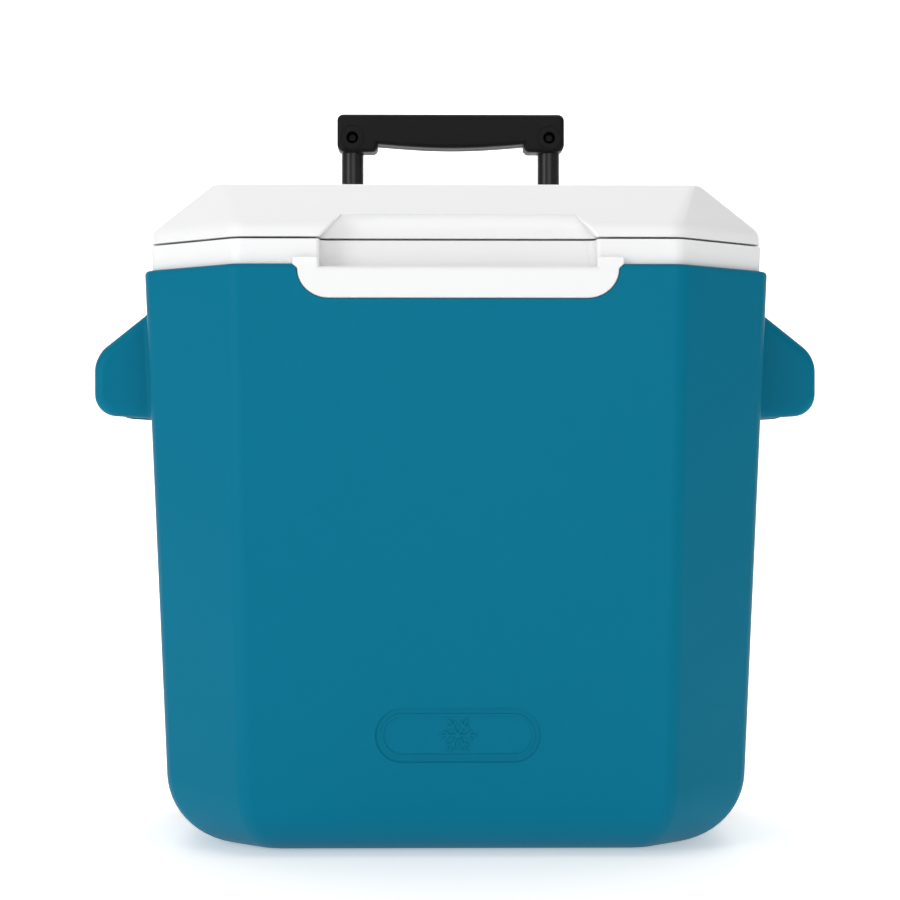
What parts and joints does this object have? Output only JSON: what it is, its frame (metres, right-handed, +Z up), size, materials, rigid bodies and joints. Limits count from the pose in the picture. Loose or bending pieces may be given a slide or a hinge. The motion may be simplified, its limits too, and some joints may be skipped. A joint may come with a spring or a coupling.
{
  "type": "wheeled cooler",
  "caption": "Upright hard cooler with a hinged lid, side hand holds, a telescoping pull handle and wheels at the rear, for carrying chilled food and drinks.",
  "frame": {"origin": "centre of the flat base, on the floor under the middle of the tub", "axes": "+Z up, front of the cooler towards -Y, +X to the right seen from the front"},
  "size_m": [0.46, 0.3439, 0.4935],
  "materials": {
    "shell_plastic": "moulded, fine grain, satin",
    "white_plastic": "moulded, satin gloss",
    "black_plastic": "moulded, fine grain",
    "black_tube": "powder coated, semi gloss",
    "zinc_steel": "zinc plated",
    "foam": "rigid foam, cast in place",
    "tyre_rubber": "ribbed tread",
    "bush_plastic": "plain, self-lubricating"
  },
  "bodies": {
    "body": {"outer_shell": "shell_plastic", "inner_liner": "white_plastic", "body_foam": "foam", "handle_bracket_upper": "black_plastic", "handle_bracket_lower": "black_plastic", "bracket_screws": "zinc_steel", "hinge_base_screws": "zinc_steel", "axle": "zinc_steel", "axle_sleeve": "zinc_steel", "guide_tube_left": "black_tube", "guide_tube_right": "black_tube", "guide_collar_left": "black_plastic", "guide_collar_right": "black_plastic", "guide_plug_left": "black_plastic", "guide_plug_right": "black_plastic", "hinge_base_left": "black_plastic", "hinge_base_right": "black_plastic", "hinge_pin_left": "zinc_steel", "hinge_pin_right": "zinc_steel", "axle_washer_left": "zinc_steel", "axle_washer_right": "zinc_steel", "axle_nut_left": "zinc_steel", "axle_nut_right": "zinc_steel"},
    "lid": {"lid_cover": "white_plastic", "lid_liner": "white_plastic", "lid_foam": "foam", "hinge_leaf_screws": "zinc_steel", "hinge_leaf_left": "black_plastic", "hinge_leaf_right": "black_plastic"},
    "handle_middle": {"stage_bridge": "black_plastic", "middle_tube_left": "black_tube", "middle_tube_right": "black_tube", "middle_slider_left": "bush_plastic", "middle_slider_right": "bush_plastic"},
    "handle_inner": {"grip_front": "black_plastic", "grip_rear": "black_plastic", "grip_screws": "zinc_steel", "inner_tube_left": "black_tube", "inner_tube_right": "black_tube", "inner_slider_left": "bush_plastic", "inner_slider_right": "bush_plastic"},
    "wheel_left": {"wheel_hub_left": "black_plastic", "wheel_tyre_left": "tyre_rubber", "wheel_bush_left": "bush_plastic", "wheel_cap_left": "black_plastic"},
    "wheel_right": {"wheel_hub_right": "black_plastic", "wheel_tyre_right": "tyre_rubber", "wheel_bush_right": "bush_plastic", "wheel_cap_right": "black_plastic"}
  },
  "joints": [
    {"name": "lid_hinge", "type": "hinge", "parent": "body", "child": "lid", "pos_m": [0, 0.137, 0.3935], "axis": [-1, 0, 0], "range_deg": [0, 93]},
    {"name": "handle_stage_one", "type": "slide", "parent": "body", "child": "handle_middle", "axis": [0, 0, 1], "range_m": [0, 0.24]},
    {"name": "handle_stage_two", "type": "slide", "parent": "handle_middle", "child": "handle_inner", "axis": [0, 0, 1], "range_m": [0, 0.24]},
    {"name": "wheel_spin_left", "type": "hinge", "parent": "body", "child": "wheel_left", "pos_m": [-0.1665, 0.092, 0.0556], "axis": [1, 0, 0], "continuous": true},
    {"name": "wheel_spin_right", "type": "hinge", "parent": "body", "child": "wheel_right", "pos_m": [0.1665, 0.092, 0.0556], "axis": [1, 0, 0], "continuous": true}
  ]
}
